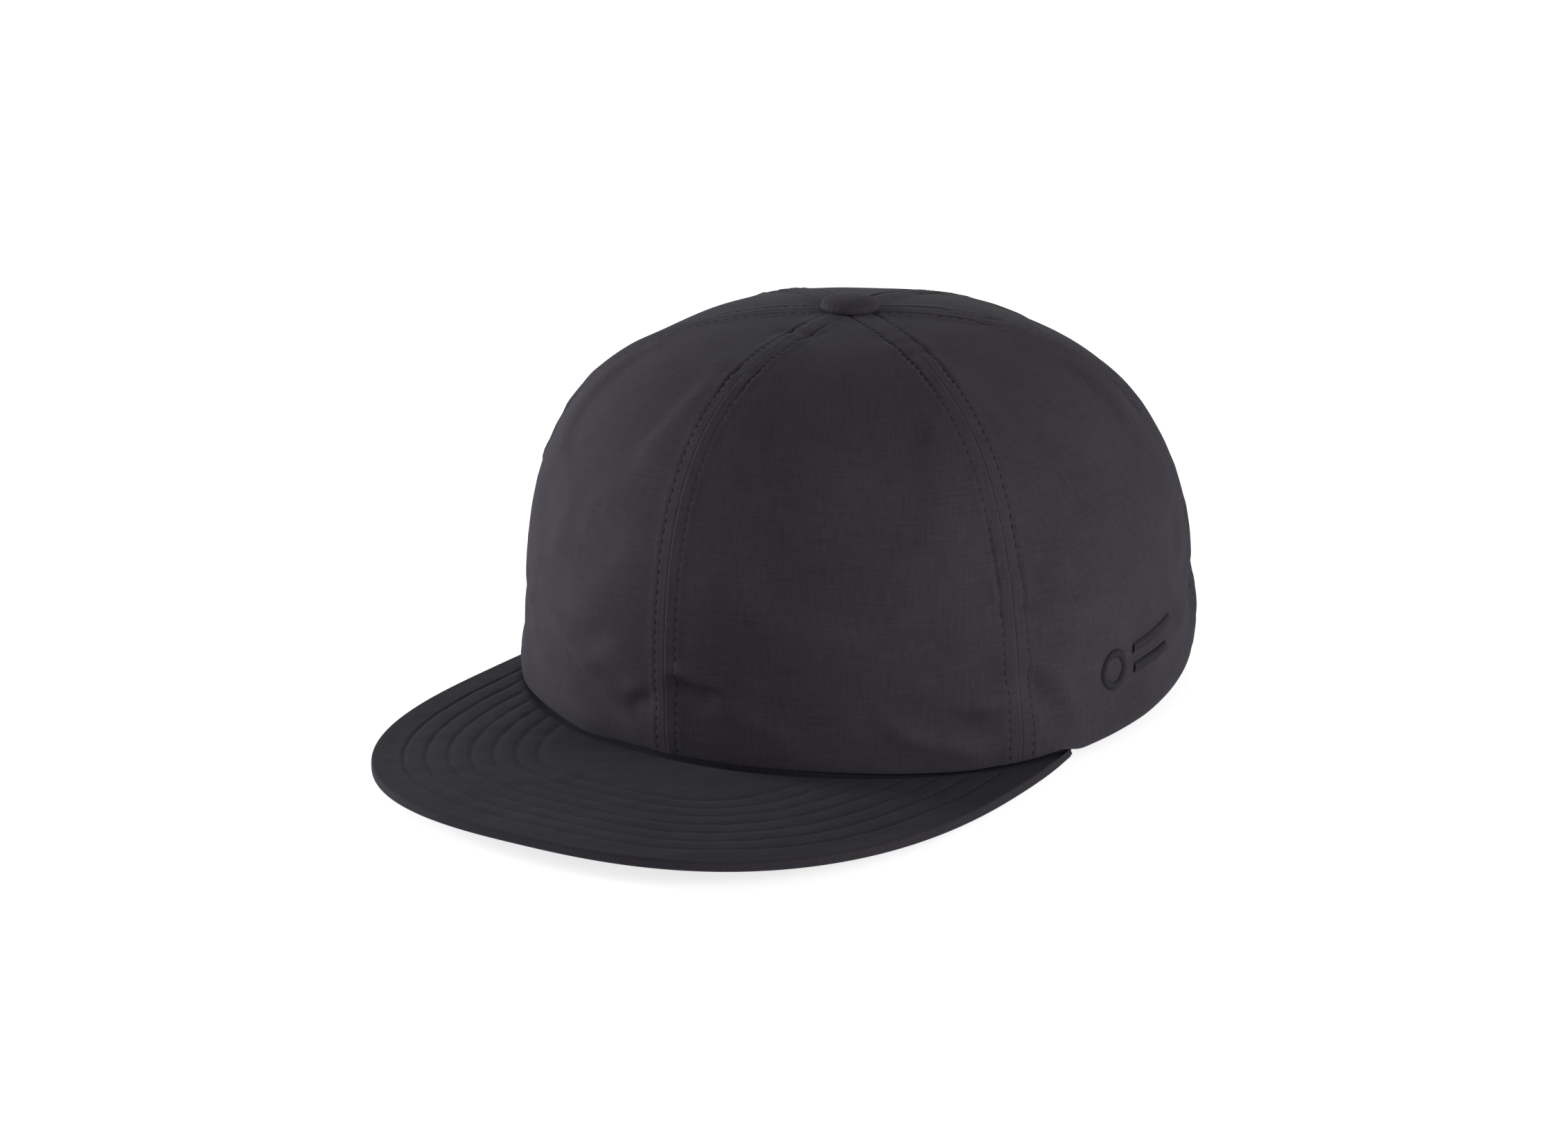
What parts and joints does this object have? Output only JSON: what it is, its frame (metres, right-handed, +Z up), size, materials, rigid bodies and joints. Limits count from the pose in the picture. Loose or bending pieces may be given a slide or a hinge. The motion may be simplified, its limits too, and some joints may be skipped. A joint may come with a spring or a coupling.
{
  "type": "bump cap",
  "caption": "Six-panel baseball-style bump cap with a flat stitched brim, rear strap with cam buckle, and a removable vented hard shell on foam pads.",
  "frame": {"origin": "middle of the whole cap's footprint, level with its lowest point", "axes": "+Z up, brim towards -Y, wearer's left towards +X; the cap is upright with its brim level"},
  "size_m": [0.1832, 0.288, 0.113],
  "materials": {
    "cap_cloth": "matte",
    "seam_tape": "matte",
    "sweatband_cloth": "matte",
    "woven_label": "satin",
    "brim_board": "matte",
    "strap_cloth": "matte",
    "buckle_metal": "satin",
    "rivet_metal": "satin",
    "shell_plastic": "satin",
    "pad_foam": "matte",
    "hook_and_loop": "matte"
  },
  "bodies": {
    "cap": {"crown_panel_front_left": "cap_cloth", "crown_panel_front_right": "cap_cloth", "crown_panel_side_left": "cap_cloth", "crown_panel_side_right": "cap_cloth", "crown_panel_rear_left": "cap_cloth", "crown_panel_rear_right": "cap_cloth", "brim_top_cover": "cap_cloth", "brim_bottom_cover": "cap_cloth", "crown_button": "cap_cloth", "seam_tape_front": "seam_tape", "seam_tape_front_left": "seam_tape", "seam_tape_front_right": "seam_tape", "seam_tape_rear_left": "seam_tape", "seam_tape_rear_right": "seam_tape", "seam_tape_rear": "seam_tape", "arch_tape": "seam_tape", "sweatband": "sweatband_cloth", "size_label": "woven_label", "brim_board": "brim_board", "anchor_strap": "strap_cloth", "buckle_frame": "buckle_metal", "buckle_pin": "buckle_metal", "button_rivet": "rivet_metal", "button_washer": "rivet_metal", "loop_tab_front_left": "hook_and_loop", "loop_tab_front_right": "hook_and_loop", "loop_tab_rear_left": "hook_and_loop", "loop_tab_rear_right": "hook_and_loop"},
    "strap": {"adjuster_strap": "strap_cloth"},
    "lever": {"buckle_lever": "buckle_metal"},
    "insert": {"protective_shell": "shell_plastic", "pad_crown": "pad_foam", "pad_front": "pad_foam", "pad_side_left": "pad_foam", "pad_side_right": "pad_foam", "pad_rear_left": "pad_foam", "pad_rear_right": "pad_foam", "hook_tab_front_left": "hook_and_loop", "hook_tab_front_right": "hook_and_loop", "hook_tab_rear_left": "hook_and_loop", "hook_tab_rear_right": "hook_and_loop"}
  },
  "joints": [
    {"name": "strap_adjust", "type": "hinge", "parent": "cap", "child": "strap", "pos_m": [0, 0.0641, 0.02909], "axis": [0, 0, -1], "range_deg": [-10, 16]},
    {"name": "lever_open", "type": "hinge", "parent": "cap", "child": "lever", "pos_m": [0.01527, 0.13968, 0.02959], "axis": [0.0218, 0.1549, -0.9877], "range_deg": [0, 95]},
    {"name": "insert_removal", "type": "slide", "parent": "cap", "child": "insert", "axis": [0, 0, -1], "range_m": [0, 0.12]}
  ]
}
